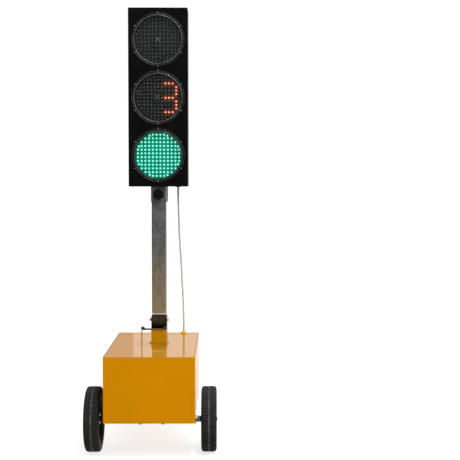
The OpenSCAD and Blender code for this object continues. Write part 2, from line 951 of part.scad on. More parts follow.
// A clear cover: a flange on the housing, a shallow dome and a skirt inside the hole
module lens(i) {
    r = lens_d / 2;
    rim = rim_d / 2;
    dome = 9;
    outward = [for (k = [0:12]) k / 12];
    inward = [for (k = [12:-1:0]) k / 12];
    color("lightgray", 0.4) at_lens(i) rotate([90, 0, 0]) rotate_extrude($fn = 128) {
        polygon(concat(
            dome_points(r, dome, 4, outward),
            [[r + 1, 3], [rim - 1, 3], [rim, 2], [rim, 0], [r + 1, 0], [r + 1, -22], [r - 2, -22]],
            dome_points(r - 2, dome, 1, inward)
        ));
    }
}

function even_grid(n, pitch) = [
    for (i = [0:n - 1], j = [0:n - 1])
        let (x = i - (n - 1) / 2, z = j - (n - 1) / 2) if (norm([x, z]) < 6.2) [x * pitch, z * pitch]
];
function odd_grid(pitch) = [
    for (x = [-6:6], z = [-6:6]) if (norm([x, z]) < 6.4) [x * pitch, z * pitch]
];

// A round circuit board with its lamps
module led_board(i, lamps) {
    color("#404444") at_lens(i) {
        translate([0, board_y - head_y + 1.6, 0]) rotate([90, 0, 0]) {
            linear_extrude(1.6) circle(lens_d / 2 - 1, $fn = 128);
            linear_extrude(1.6 + led_h) for (p = lamps) {
                translate(p) circle(led_d / 2, $fn = 24);
            }
        }
    }
}

// The round shell that closes a module at the back
module module_shell(i) {
    r = lens_d / 2 + 1;
    y0 = board_y - head_y - 4;
    color("#303434") at_lens(i) difference() {
        union() {
            rod_y(r + 1.9, y0, y0 + 8, 128);
            rod_y(r - 1, y0 + 7, y0 + module_d, 128);
        }
        rod_y(r, y0 - 1, y0 + 5.6, 128);
        rod_y(r - 4, y0 + 4, y0 + module_d - 3, 128);
    }
}

module lens_top() { lens(0); }
module lens_middle() { lens(1); }
module lens_bottom() { lens(2); }
module led_board_top() { led_board(0, even_grid(12, 15.2)); }
module led_board_middle() { led_board(1, odd_grid(14.5)); }
module led_board_bottom() { led_board(2, even_grid(12, 15.2)); }
module module_shell_top() { module_shell(0); }
module module_shell_middle() { module_shell(1); }
module module_shell_bottom() { module_shell(2); }

// Six clips around each lens
module lens_clips() {
    color("gray") for (i = [0:2], a = [30:60:330]) {
        at_lens(i) rotate([0, a, 0]) translate([clip_r, 0, 0]) {
            span([-6.5, -4.2, -2.2], [3.5, -3, 2.2]);
            span([0.3, -4.2, -2.2], [3.5, 0, 2.2]);
            rod_y(1.8, -5.2, -4.1);
        }
    }
}

/* ---- Cable ---- */

// The directions across and above the cable at each point of its route
function along(p, i) = let (a = p[max(i - 1, 0)], b = p[min(i + 1, len(p) - 1)]) (b - a) / norm(b - a);
function unit(v) = v / norm(v);

module tube_along(route, r, sides) {
    rings = [
        for (i = [0:len(route) - 1])
            let (t = along(route, i), u = unit(cross(t, [0, 1, 0])), v = cross(t, u))
            for (k = [0:sides - 1])
                let (a = 360 * k / sides) route[i] + r * (cos(a) * u + sin(a) * v)
    ];
    last = len(route) - 1;
    sides_faces = [
        for (i = [0:last - 1], k = [0:sides - 1])
            let (n = (k + 1) % sides)
            [i * sides + k, i * sides + n, (i + 1) * sides + n, (i + 1) * sides + k]
    ];
    ends = [
        [for (k = [sides - 1:-1:0]) k],
        [for (k = [0:sides - 1]) last * sides + k]
    ];
    polyhedron(points = rings, faces = concat(sides_faces, ends), convexity = 4);
}

module cable() {
    color("gainsboro") tube_along(cable_route, cable_d / 2, 8);
}

box_shell();
lid_gasket();
hinge_box_leaves();
hinge_pins();
mast_bracket();
bracket_plate();
bracket_bolts();
mast_pivot_bolt();
axle_bar();
axle_bolts();
axle_nuts_and_collars();
caster_plate_left();
caster_plate_right();
caster_bolts();
battery();
battery_strap();
controller_case();
charge_socket();
gland_box();
lock_cylinder();
lid_panel();
mast_rest();
mast_rest_pad();
hinge_lid_leaves();
lock_cam();
power_switch();
tyre_left();
rim_left();
bearings_left();
tyre_right();
rim_right();
bearings_right();
caster_fork_left();
caster_axle_left();
caster_wheel_left();
caster_fork_right();
caster_axle_right();
caster_wheel_right();
mast_tube();
mast_foot();
mast_pivot_bush();
head_bracket();
clamp_knob();
head_housing();
head_back_cover();
head_seal();
head_screws();
head_grommet();
lid_striker();
lens_top();
lens_middle();
lens_bottom();
led_board_top();
led_board_middle();
led_board_bottom();
module_shell_top();
module_shell_middle();
module_shell_bottom();
lens_clips();
cable();
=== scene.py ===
"""Looks for the portable pedestrian traffic light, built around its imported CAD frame, in metres."""

import json
import math

import bpy
import numpy as np
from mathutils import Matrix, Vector


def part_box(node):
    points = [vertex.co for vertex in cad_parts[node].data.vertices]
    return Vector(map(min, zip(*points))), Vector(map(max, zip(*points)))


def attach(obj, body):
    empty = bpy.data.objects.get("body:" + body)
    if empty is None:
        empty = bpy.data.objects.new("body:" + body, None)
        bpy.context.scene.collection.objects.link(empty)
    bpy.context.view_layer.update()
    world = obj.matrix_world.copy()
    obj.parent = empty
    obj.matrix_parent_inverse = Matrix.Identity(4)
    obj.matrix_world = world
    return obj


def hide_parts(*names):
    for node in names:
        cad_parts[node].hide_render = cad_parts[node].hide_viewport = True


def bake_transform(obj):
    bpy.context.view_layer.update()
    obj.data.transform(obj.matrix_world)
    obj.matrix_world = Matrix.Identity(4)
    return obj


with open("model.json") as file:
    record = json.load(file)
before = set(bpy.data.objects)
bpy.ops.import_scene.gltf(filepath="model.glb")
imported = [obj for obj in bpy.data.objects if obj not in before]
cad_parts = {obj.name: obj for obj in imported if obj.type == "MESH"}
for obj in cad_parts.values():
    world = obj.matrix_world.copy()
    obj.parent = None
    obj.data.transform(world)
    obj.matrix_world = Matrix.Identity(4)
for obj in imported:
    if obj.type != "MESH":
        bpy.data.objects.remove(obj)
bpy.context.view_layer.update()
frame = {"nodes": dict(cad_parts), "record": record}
nodes = frame["nodes"]

# ---------------------------------------------------------------- camera

EYE = (0.258, -4.096, 1.008)
TILT_DOWN, TURN_LEFT = 2.7, -0.5  # degrees
SENSOR, FOCAL_LENGTH = 36, 82.2  # millimetres

camera = bpy.data.objects.new("camera", bpy.data.cameras.new("camera"))
bpy.context.scene.collection.objects.link(camera)
camera.location = EYE
camera.rotation_euler = (math.radians(90 - TILT_DOWN), 0, math.radians(TURN_LEFT))
camera.data.sensor_width = SENSOR
camera.data.lens = FOCAL_LENGTH
camera.data.clip_end = 60
bpy.context.scene.camera = camera


# ---------------------------------------------------------------- shader helpers


def new_material(name):
    material = bpy.data.materials.new(name)
    material.use_nodes = True
    return material, material.node_tree, material.node_tree.nodes["Principled BSDF"]


def grey(v):
    return (v, v, v, 1)


def rgba(c):
    return (c[0], c[1], c[2], 1)


def noise(tree, scale, detail=3.0, stretch=(1, 1, 1), seed=(0, 0, 0)):
    """A noise field in the row frame, with its cells about 1 / scale metres across."""
    place = tree.nodes.new("ShaderNodeTexCoord")
    mapping = tree.nodes.new("ShaderNodeMapping")
    mapping.inputs["Scale"].default_value = stretch
    mapping.inputs["Location"].default_value = seed
    field = tree.nodes.new("ShaderNodeTexNoise")
    field.inputs["Scale"].default_value = scale
    field.inputs["Detail"].default_value = detail
    tree.links.new(place.outputs["Object"], mapping.inputs["Vector"])
    tree.links.new(mapping.outputs["Vector"], field.inputs["Vector"])
    return field.outputs["Fac"]


def remap(tree, value, low, high, to_low, to_high):
    node = tree.nodes.new("ShaderNodeMapRange")
    for key, v in (("From Min", low), ("From Max", high), ("To Min", to_low), ("To Max", to_high)):
        node.inputs[key].default_value = v
    tree.links.new(value, node.inputs["Value"])
    return node.outputs["Result"]


def mix(tree, factor, a, b):
    """Colour a where factor is 0 and b where it is 1; each is a colour or a socket."""
    node = tree.nodes.new("ShaderNodeMix")
    node.data_type = "RGBA"
    tree.links.new(factor, node.inputs["Factor"])
    for socket, value in ((node.inputs[6], a), (node.inputs[7], b)):
        if isinstance(value, bpy.types.NodeSocket):
            tree.links.new(value, socket)
        else:
            socket.default_value = rgba(value)
    return node.outputs[2]


def bump(tree, shader, height, distance, strength, rounding):
    node = tree.nodes.new("ShaderNodeBump")
    node.inputs["Distance"].default_value = distance
    node.inputs["Strength"].default_value = strength
    tree.links.new(height, node.inputs["Height"])
    if rounding:
        edge = tree.nodes.new("ShaderNodeBevel")
        edge.samples = 4
        edge.inputs["Radius"].default_value = rounding
        tree.links.new(edge.outputs["Normal"], node.inputs["Normal"])
    tree.links.new(node.outputs["Normal"], shader.inputs["Normal"])


def surface(
    name,
    dark,
    light,
    rough,
    spread=0.08,
    metallic=0.0,
    specular=0.5,
    coat=0.0,
    coat_rough=0.05,
    coat_ior=1.5,
    patch=18.0,
    grain=400.0,
    depth=0.00006,
    strength=0.6,
    rounding=0.0,
):
    """A finish whose colour wanders from dark to light in patches about 1 / patch metres across,
    with a finer grain in its bump and roughness. rounding is the radius that edges seem to have."""
    material, tree, shader = new_material(name)
    shader.inputs["Metallic"].default_value = metallic
    shader.inputs["Specular IOR Level"].default_value = specular
    shader.inputs["Coat Weight"].default_value = coat
    shader.inputs["Coat Roughness"].default_value = coat_rough
    shader.inputs["Coat IOR"].default_value = coat_ior
    broad = noise(tree, patch, 4.0)
    fine = noise(tree, grain, 2.0, seed=(3.1, 1.7, 0.4))
    tint = mix(tree, remap(tree, broad, 0.35, 0.65, 0, 1), dark, light)
    tree.links.new(tint, shader.inputs["Base Color"])
    tree.links.new(
        remap(tree, fine, 0.3, 0.7, rough - spread, rough + spread), shader.inputs["Roughness"]
    )
    bump(tree, shader, fine, depth, strength, rounding)
    return material


def painted_shade_upwards(material, tone, low, high):
    """Blends the base colour towards a darker tone from height low up to height high: painted shade,
    where the cable rises into the shadow under the head.
    """
    tree = material.node_tree
    shader = tree.nodes["Principled BSDF"]
    place = tree.nodes.new("ShaderNodeTexCoord")
    height = tree.nodes.new("ShaderNodeSeparateXYZ")
    tree.links.new(place.outputs["Object"], height.inputs["Vector"])
    unshaded = shader.inputs["Base Color"].links[0].from_socket
    share = remap(tree, height.outputs["Z"], low, high, 0, 1)
    tree.links.new(mix(tree, share, unshaded, tone), shader.inputs["Base Color"])


def dull_front(material, front, sides):
    """Gives the weathered wall that faces front a thinner clear coat than the other sides."""
    tree = material.node_tree
    place = tree.nodes.new("ShaderNodeTexCoord")
    facing = tree.nodes.new("ShaderNodeSeparateXYZ")
    tree.links.new(place.outputs["Normal"], facing.inputs["Vector"])
    tree.links.new(
        remap(tree, facing.outputs["Y"], -0.9, -0.4, front, sides),
        tree.nodes["Principled BSDF"].inputs["Coat Weight"],
    )


# ---------------------------------------------------------------- materials

finishes = {}


def add_finish(name, *colours, **settings):
    finishes[name] = surface(name, *colours, **settings)


add_finish(
    "yellow_paint", (0.415, 0.161, 0.0002), (0.438, 0.171, 0.0003), 0.5, 0.05, specular=0.0,
    coat=0.5, coat_rough=0.015, patch=6, grain=120, depth=0.00001, strength=0.3,
    rounding=0.0008,
)
add_finish(
    "lid_paint", (0.345, 0.147, 0.0004), (0.37, 0.158, 0.0006), 0.5, 0.04, specular=0.0,
    coat=0.545, coat_ior=1.5, coat_rough=0.012, patch=6, grain=120, depth=0.00001,
    strength=0.3, rounding=0.0006,
)
add_finish("yellow_gland", (0.72, 0.34, 0.02), (0.80, 0.40, 0.03), 0.35, coat=0.3, grain=500)
add_finish("seal_rubber", (0.012,) * 3, (0.022,) * 3, 0.8, specular=0.2)
add_finish("pad_rubber", (0.008,) * 3, (0.015,) * 3, 0.65, specular=0.25, grain=900, depth=0.0001)
add_finish(
    "zinc_steel", (0.30, 0.31, 0.32), (0.48, 0.49, 0.50), 0.36, 0.1, metallic=0.95,
    patch=90, grain=700, depth=0.00003,
)
add_finish(
    "passivated_steel", (0.56, 0.50, 0.40), (0.72, 0.68, 0.58), 0.45, 0.1, metallic=0.7,
    patch=110, grain=700, depth=0.00003,
)
add_finish(
    "black_paint", (0.025, 0.0185, 0.012), (0.042, 0.0320, 0.0215), 0.45, specular=0.1,
    coat=0.2, coat_rough=0.25, coat_ior=1.3, patch=40, grain=500, depth=0.00006,
    rounding=0.0015,
)
add_finish(
    "battery_case", (0.016, 0.016, 0.02), (0.026, 0.026, 0.032), 0.5, grain=900,
    rounding=0.002,
)
add_finish("strap_steel", (0.05,) * 3, (0.08,) * 3, 0.4, metallic=0.4)
add_finish("grey_case", (0.20, 0.21, 0.22), (0.25, 0.26, 0.27), 0.5, grain=800, rounding=0.0015)
add_finish("black_plastic", (0.012,) * 3, (0.02,) * 3, 0.42, grain=900)
add_finish("red_plastic", (0.40, 0.010, 0.008), (0.48, 0.016, 0.012), 0.28, coat=0.5)
add_finish(
    "chrome_lock", (0.42,) * 3, (0.50,) * 3, 0.16, 0.05, metallic=1.0, grain=900,
    depth=0.00001,
)
add_finish(
    "tyre_rubber", (0.0165, 0.0168, 0.0155), (0.0245, 0.025, 0.023), 0.75, 0.1, specular=0.15,
    patch=24, grain=1100, depth=0.00012, rounding=0.0006,
)
# Painted shade: a near-black copy of the tyre rubber for the faces down in the grooves between the
# lugs.
add_finish("tyre_groove", (0.0025,) * 3, (0.0045,) * 3, 0.9, specular=0.05, patch=55, grain=1100)
add_finish(
    "tyre_band", (0.022, 0.0225, 0.021), (0.062, 0.063, 0.058), 0.7, 0.1, specular=0.1,
    patch=70, grain=1100, depth=0.0001,
)
add_finish(
    "rim_plastic", (0.007,) * 3, (0.014,) * 3, 0.48, specular=0.15, grain=900,
    depth=0.00008, rounding=0.0015,
)
add_finish("bearing_steel", (0.45,) * 3, (0.6,) * 3, 0.25, 0.06, metallic=1.0, grain=900)
add_finish("caster_rubber", (0.03,) * 3, (0.055,) * 3, 0.7, specular=0.3, patch=60, grain=900)
add_finish("bronze", (0.40, 0.24, 0.10), (0.52, 0.34, 0.16), 0.3, metallic=1.0)
add_finish(
    "knob_plastic", (0.0014, 0.0026, 0.0018), (0.0032, 0.0048, 0.0037), 0.45, specular=0.05,
    grain=900, depth=0.00008, rounding=0.001,
)
add_finish(
    "head_paint", (0.0013, 0.0016, 0.0012), (0.0025, 0.0030, 0.0024), 0.55, 0.08,
    specular=0.03, patch=12, grain=700, depth=0.00002, strength=0.5, rounding=0.001,
)
add_finish("module_plastic", (0.02,) * 3, (0.03,) * 3, 0.5, grain=900)
add_finish("clip_steel", (0.03,) * 3, (0.09,) * 3, 0.4, metallic=0.2, patch=200, grain=900)
add_finish(
    "cable_sheath", (0.34, 0.345, 0.335), (0.40, 0.405, 0.39), 0.5, specular=0.05, patch=30,
    grain=900, depth=0.00004,
)

FILM_TOP, FILM_FOOT = 0.76, 0.44  # heights between which the mast's film thickens
FILM_TONE = (0.345, 0.270, 0.142)
STREAK_TONE, SPECK_TONE = (0.22, 0.24, 0.22), (0.5, 0.52, 0.5)


def galvanised(name, dark, light, film_share):
    """Zinc with a flake pattern, fine bright specks and a tan film towards the foot of the mast."""
    material, tree, shader = new_material(name)
    shader.inputs["Metallic"].default_value = 0.55
    place = tree.nodes.new("ShaderNodeTexCoord")
    flakes = []
    for scale in (95.0, 240.0):
        cells = tree.nodes.new("ShaderNodeTexVoronoi")
        cells.inputs["Scale"].default_value = scale
        tree.links.new(place.outputs["Object"], cells.inputs["Vector"])
        split = tree.nodes.new("ShaderNodeSeparateColor")
        tree.links.new(cells.outputs["Color"], split.inputs["Color"])
        flakes.append(split.outputs["Red"])
    large, small = flakes
    streaks = noise(tree, 60.0, 5.0, (1, 1, 0.12))
    tone = mix(tree, large, dark, light)
    tone = mix(tree, remap(tree, streaks, 0.5, 0.8, 0, 0.35), tone, STREAK_TONE)
    tone = mix(tree, remap(tree, small, 0.99, 1.0, 0, 0.4), tone, SPECK_TONE)
    height = tree.nodes.new("ShaderNodeSeparateXYZ")
    tree.links.new(place.outputs["Object"], height.inputs["Vector"])
    film = remap(tree, height.outputs["Z"], FILM_TOP, FILM_FOOT, 0, film_share)
    tone = mix(tree, film, tone, FILM_TONE)
    tree.links.new(tone, shader.inputs["Base Color"])
    tree.links.new(remap(tree, large, 0, 1, 0.34, 0.56), shader.inputs["Roughness"])
    bump(tree, shader, small, distance=0.00005, strength=0.5, rounding=0.003)
    return material


finishes["galvanised_steel"] = galvanised(
    "galvanised_steel", (0.070, 0.080, 0.076), (0.108, 0.120, 0.113), film_share=0.75
)
finishes["galvanised_bracket"] = galvanised(
    "galvanised_bracket", (0.070, 0.078, 0.074), (0.120, 0.129, 0.122), film_share=0.0
)


def clear_plastic(name, colour, alpha, rough):
    material, tree, shader = new_material(name)
    shader.inputs["Base Color"].default_value = rgba(colour)
    shader.inputs["Alpha"].default_value = alpha
    shader.inputs["Specular IOR Level"].default_value = 0.3
    film = noise(tree, 45.0, 4.0)
    tree.links.new(remap(tree, film, 0.3, 0.7, rough, rough + 0.06), shader.inputs["Roughness"])
    return material


finishes["clear_lens"] = clear_plastic("clear_lens", (0.085, 0.09, 0.09), 0.0305, 0.14)
lens_edge = surface(
    "lens_edge", (0.035, 0.038, 0.038), (0.10, 0.105, 0.11), 0.3, 0.05, specular=0.5, coat=0.6,
    coat_rough=0.24, patch=25, depth=0.0,
)
# Painted shade: a darker, less glossy copy of lens_edge for the inner bead of the lowest lens.
lens_edge_shaded = surface(
    "lens_edge_shaded", (0.018, 0.020, 0.019), (0.05, 0.053, 0.052), 0.3, 0.05, specular=0.4,
    coat=0.35, coat_rough=0.24, patch=25, depth=0.0,
)
lens_edge_dim = surface(
    "lens_edge_dim", (0.008, 0.009, 0.0085), (0.022, 0.024, 0.023), 0.4, 0.05, specular=0.25,
    coat=0.15, coat_rough=0.25, patch=25, depth=0.0,
)
ring_dark = surface(
    "ring_dark", (0.0022, 0.0025, 0.0022), (0.0045, 0.0050, 0.0045), 0.5, 0.06, specular=0.05,
    patch=60, grain=700,
)
sealant = surface(
    "sealant", (0.30, 0.325, 0.34), (0.42, 0.44, 0.455), 0.6, specular=0.3, patch=60, grain=500
)


def lit(name, base, glow):
    """A lamp face that shines, a little unevenly."""
    material, tree, shader = new_material(name)
    shader.inputs["Base Color"].default_value = rgba(base)
    shader.inputs["Roughness"].default_value = 0.3
    wander = noise(tree, 160.0, 2.0)
    tree.links.new(
        mix(tree, remap(tree, wander, 0.3, 0.7, 0, 0.15), glow, base),
        shader.inputs["Emission Color"],
    )
    shader.inputs["Emission Strength"].default_value = 1.0
    material.cycles.emission_sampling = "NONE"
    return material


def board_finish(name, plain, glow=None):
    """The board behind the lamps. With a glow colour it shines where its attribute glow is high:
    painted light from the lit lamps, on a board that is no lamp.
    """
    material, tree, shader = new_material(name)
    shader.inputs["Roughness"].default_value = 0.6
    shader.inputs["Specular IOR Level"].default_value = 0.0
    grain = noise(tree, 30.0, 3.0)
    tint = mix(tree, remap(tree, grain, 0.3, 0.7, 0, 1), plain, tuple(v * 1.5 for v in plain))
    tree.links.new(tint, shader.inputs["Base Color"])
    if glow:
        field = tree.nodes.new("ShaderNodeAttribute")
        field.attribute_name = "glow"
        tree.links.new(
            mix(tree, field.outputs["Fac"], (0, 0, 0), glow), shader.inputs["Emission Color"]
        )
        shader.inputs["Emission Strength"].default_value = 1.0
        material.cycles.emission_sampling = "NONE"
    return material


lamp_off = surface(
    "lamp_off", (0.070, 0.075, 0.074), (0.092, 0.097, 0.095), 0.6, 0.05, specular=0.0,
    patch=30, grain=500, depth=0.00001,
)
amber_dim = lit("amber_dim", (0.10, 0.06, 0.03), (0.105, 0.050, 0.014))
green_core = lit("green_core", (0.10, 0.5, 0.35), (0.28, 1.0, 0.74))
green_edge = lit("green_edge", (0.05, 0.4, 0.27), (0.06, 0.62, 0.42))
orange_core = lit("orange_core", (0.6, 0.25, 0.1), (1.0, 0.66, 0.42))
orange_edge = lit("orange_edge", (0.5, 0.08, 0.01), (1.0, 0.20, 0.03))
finishes["lamps_unlit"] = board_finish("lamps_unlit", (0.0085, 0.0096, 0.0093))
# The glow colours of these boards are painted light from the lit lamps falling on the board.
finishes["lamps_countdown"] = board_finish(
    "lamps_countdown", (0.0058, 0.0063, 0.0060), (0.25, 0.030, 0.002)
)
# Painted light: this board's base colour is green where the other boards are dark grey, standing in
# for the green lamps' light on it.
finishes["lamps_green"] = board_finish(
    "lamps_green", (0.001, 0.055, 0.038), (0.0005, 0.21, 0.13)
)

dull_front(finishes["yellow_paint"], front=0.06, sides=0.5)
# Painted shade: the cable's colour darkens towards its top, where it rises into the head's shadow.
painted_shade_upwards(finishes["cable_sheath"], tone=(0.22, 0.23, 0.20), low=0.60, high=0.95)

slots = {part["node"]: part["material_slot"] for part in frame["record"]["subparts"]}
for name, node in nodes.items():
    node.data.materials.clear()
    node.data.materials.append(finishes[slots[name]])


# ---------------------------------------------------------------- mesh helpers


def make(name, points, faces, materials, body, face_slots=None, smooth=True):
    """A mesh piece that rides on a body, or on none yet if body is None."""
    mesh = bpy.data.meshes.new(name)
    mesh.from_pydata([tuple(p) for p in points], [], [tuple(f) for f in faces])
    for material in materials:
        mesh.materials.append(material)
    if face_slots is not None:
        mesh.polygons.foreach_set("material_index", face_slots)
    mesh.polygons.foreach_set("use_smooth", [smooth] * len(mesh.polygons))
    mesh.update()
    piece = bpy.data.objects.new(name, mesh)
    bpy.context.scene.collection.objects.link(piece)
    if body:
        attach(piece, body)
    return piece


def sharpen(piece, degrees):
    """Marks creases sharper than this as hard edges in the shading."""
    piece.data.set_sharp_from_angle(angle=math.radians(degrees))


def lathe(profile, centre, axis, steps, radial=None):
    """Points and faces of a closed profile of (along, radius), turned about the x or y axis through
    centre. radial(i, k) may give an extra radius for step i and profile point k."""
    count = len(profile)
    points = []
    for i in range(steps):
        turn = 2 * math.pi * i / steps
        for k, (along, radius) in enumerate(profile):
            r = radius + (radial(i, k) if radial else 0)
            a, b = r * math.cos(turn), r * math.sin(turn)
            local = (along, a, b) if axis == "x" else (a, along, b)
            points.append(Vector(local) + centre)
    faces = []
    for i in range(steps):
        j = (i + 1) % steps
        for k in range(count):
            n = (k + 1) % count
            # The two axes turn opposite ways, so one is flipped to make its faces look outward too
            face = (i * count + k, i * count + n, j * count + n, j * count + k)
            faces.append(face[::-1] if axis == "x" else face)
    return points, faces


# ---------------------------------------------------------------- cable

ROUTE = [
    (0.104, 0.244, 0.381), (0.104, 0.244, 0.397), (0.104, 0.248, 0.420), (0.103, 0.253, 0.455),
    (0.102, 0.258, 0.500), (0.099, 0.263, 0.555), (0.096, 0.268, 0.610), (0.093, 0.273, 0.665),
    (0.089, 0.277, 0.720), (0.086, 0.281, 0.770), (0.084, 0.285, 0.820), (0.082, 0.289, 0.865),
    (0.081, 0.293, 0.905), (0.080, 0.296, 0.940), (0.080, 0.297, 0.965), (0.080, 0.297, 0.981),
]
CABLE_D = 0.008


def smooth_route(points, per_span=6):
    """Catmull-Rom through the route's points."""
    route = [Vector(p) for p in points]
    ends = [route[0] * 2 - route[1]] + route + [route[-1] * 2 - route[-2]]
    out = []
    for a, b, c, d in zip(ends, ends[1:], ends[2:], ends[3:]):
        for s in range(per_span):
            t = s / per_span
            out.append(
                0.5 * ((2 * b) + (c - a) * t + (2 * a - 5 * b + 4 * c - d) * t * t
                       + (3 * b - a - 3 * c + d) * t ** 3)
            )
    return out + [route[-1]]


def tube(name, path, radius, sides, material):
    """A closed round tube along a path that mostly rises, with square ends."""
    points, faces = [], []
    across = Vector((1, 0, 0))
    for i, p in enumerate(path):
        ahead = (path[min(i + 1, len(path) - 1)] - path[max(i - 1, 0)]).normalized()
        side = (across - ahead * across.dot(ahead)).normalized()
        other = ahead.cross(side)
        for k in range(sides):
            turn = 2 * math.pi * k / sides
            points.append(p + (side * math.cos(turn) + other * math.sin(turn)) * radius)
    for i in range(len(path) - 1):
        for k in range(sides):
            n = (k + 1) % sides
            faces.append((i * sides + k, i * sides + n, (i + 1) * sides + n, (i + 1) * sides + k))
    faces.append(tuple(range(sides))[::-1])
    faces.append(tuple(range((len(path) - 1) * sides, len(path) * sides)))
    return make(name, points, faces, [material], None)


cable_path = smooth_route(ROUTE)
cable = tube("power_cable", cable_path, CABLE_D / 2, 20, finishes["cable_sheath"])
sharpen(cable, 60)
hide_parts("cable")
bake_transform(cable)


# ---------------------------------------------------------------- lamps and lenses


def lamp_grid(steps, pitch, reach):
    """Rows and columns of lamps inside a circle, the outermost drawn in a little to follow it.
    steps and reach, the circle's radius, count in pitches."""
    spots = []
    for x in steps:
        for z in steps:
            far = math.hypot(x, z)
            if far < reach:
                pull = pitch * min(1, (reach - 0.45) / max(far, pitch))
                spots.append((x * pull, z * pull))
    return spots


TOP_PITCH, COUNT_PITCH, BOTTOM_PITCH = 0.0157, 0.0148, 0.0155
LAMPS = {
    "top": lamp_grid(np.arange(-5.5, 6), TOP_PITCH, 6.2),
    "middle": lamp_grid(np.arange(-6, 7), COUNT_PITCH, 6.4),
    "bottom": lamp_grid(np.arange(-5.5, 6), BOTTOM_PITCH, 6.2),
}
# Steps from the middle lamp: those that form the digit, and those that barely glow beside it
DIGIT = (
    [(x, z) for x in (2, 3, 4) for z in (4, 0, -4)]
    + [(5, z) for z in (3, 2, 1, -1, -2, -3)]
)
FAINT = [(1, 4), (1, 0), (1, 3), (2, 2), (3, 2), (1, -3)]
GREEN_R, DIGIT_R, UNLIT_R = 0.0043, 0.0034, 0.0030  # lamp radii as the eye sees them
LAMP_H = 0.0078
PAINTED_RIM_SHADE = 0.35  # how much of the board's painted glow is lost at its edge: painted shade towards the rim
BOARD_T = 0.0016
BOARD, UNLIT, CORE, EDGE, DIM = range(5)  # the order of a lamp board's materials


def lamp_mesh(points, faces, marks, x, z, board_y, radius, core, edge):
    """One round lamp: a short barrel with a domed tip; core and edge are material numbers."""
    sides = 12
    # (share of the height, share of the radius), from inside the board up
    rings = [(-0.06, 1.0), (0.45, 1.0), (0.70, 0.88), (0.88, 0.62), (0.97, 0.32)]
    first = len(points)
    for up, out in rings:
        for k in range(sides):
            turn = 2 * math.pi * k / sides
            points.append((
                x + radius * out * math.cos(turn), board_y - LAMP_H * up,
                z + radius * out * math.sin(turn),
            ))
    points.append((x, board_y - LAMP_H, z))
    for ring in range(len(rings) - 1):
        for k in range(sides):
            n = (k + 1) % sides
            a, b = first + ring * sides, first + (ring + 1) * sides
            faces.append((a + k, a + n, b + n, b + k))
            marks.append(edge if ring < 2 else core)
    faces.append(tuple(first + k for k in reversed(range(sides))))
    marks.append(edge)
    top = first + (len(rings) - 1) * sides
    for k in range(sides):
        faces.append((top + k, top + (k + 1) % sides, first + len(rings) * sides))
        marks.append(core)


def lamp_board(where, lit_lamps, materials, cell, reach):
    """The board behind one lens with all its lamps. lit_lamps is "all", "digit" or None, cell is
    the size of the board's mesh cells, and reach is how far a lit lamp's painted glow spreads on it."""
    low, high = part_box("led_board_" + where)
    centre = (low + high) / 2
    board_y = high.y - BOARD_T
    radius = (high.x - low.x) / 2
    points, faces, marks = [], [], []
    count = int(2 * radius / cell) + 1
    at = {}
    for i in range(count + 1):
        for j in range(count + 1):
            x, z = -radius + i * 2 * radius / count, -radius + j * 2 * radius / count
            far = max(abs(x), abs(z))
            length = math.hypot(x, z)
            squeeze = far / length if length > 1e-9 else 1
            at[i, j] = len(points)
            points.append((centre.x + x * squeeze, board_y, centre.z + z * squeeze))
    for i in range(count):
        for j in range(count):
            faces.append((at[i, j], at[i + 1, j], at[i + 1, j + 1], at[i, j + 1]))
            marks.append(BOARD)
    edge = (
        [at[i, 0] for i in range(count)] + [at[count, j] for j in range(count)]
        + [at[i, count] for i in range(count, 0, -1)] + [at[0, j] for j in range(count, 0, -1)]
    )
    back = len(points)
    points += [(points[v][0], high.y, points[v][2]) for v in edge]
    for k in range(len(edge)):
        n = (k + 1) % len(edge)
        faces.append((edge[n], edge[k], back + k, back + n))
    faces.append(tuple(back + k for k in reversed(range(len(edge)))))
    marks += [BOARD] * (len(edge) + 1)
    board_points = len(points)
    lit_at = []
    for x, z in LAMPS[where]:
        step = (round(x / COUNT_PITCH), round(z / COUNT_PITCH))
        on = lit_lamps == "all" or (lit_lamps == "digit" and step in DIGIT)
        faint = lit_lamps == "digit" and step in FAINT
        if on:
            lit_at.append((centre.x + x, centre.z + z))
        size = (GREEN_R if lit_lamps == "all" else DIGIT_R) if on else UNLIT_R
        core, rim = (CORE, EDGE) if on else (DIM, DIM) if faint else (UNLIT, UNLIT)
        lamp_mesh(
            points, faces, marks, centre.x + x, centre.z + z, board_y, size, core, rim
        )
    piece = make(
        "lamps_" + where, points, faces, materials, "mast", face_slots=marks
    )
    sharpen(piece, 50)
    # Painted light: the board glows around each lit lamp, and the glow fades towards the board's rim
    # as painted shade.
    if lit_at:
        spots = np.array(lit_at)
        glow = np.zeros(len(points), np.float32)
        for n, p in enumerate(points[:board_points]):
            near = np.hypot(spots[:, 0] - p[0], spots[:, 1] - p[2])
            out = math.hypot(p[0] - centre.x, p[2] - centre.z) / radius
            shine = min(1.0, float(np.exp(-((near / reach) ** 2)).sum()))
            glow[n] = shine * (1 - PAINTED_RIM_SHADE * out ** 4)
        field = piece.data.attributes.new("glow", "FLOAT", "POINT")
        field.data.foreach_set("value", glow)
    piece.visible_shadow = False
    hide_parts("led_board_" + where)


lamp_board(
    "top", None, [finishes["lamps_unlit"], lamp_off, green_core, green_edge],
    cell=0.02, reach=0.006,
)
lamp_board(
    "middle", "digit",
    [finishes["lamps_countdown"], lamp_off, orange_core, orange_edge, amber_dim],
    cell=0.003, reach=0.0084,
)
lamp_board(
    "bottom", "all", [finishes["lamps_green"], lamp_off, green_core, green_edge],
    cell=0.003, reach=0.0082,
)

RIM_WIDTH, DOME_RISE, DOME_T = 0.0105, 0.009, 0.0025
SKIRT_DEPTH, CROSS_ARM, CROSS_HALF = 0.020, 0.0115, 0.0012
DOME_STEPS, RIM_STEPS = 96, 144


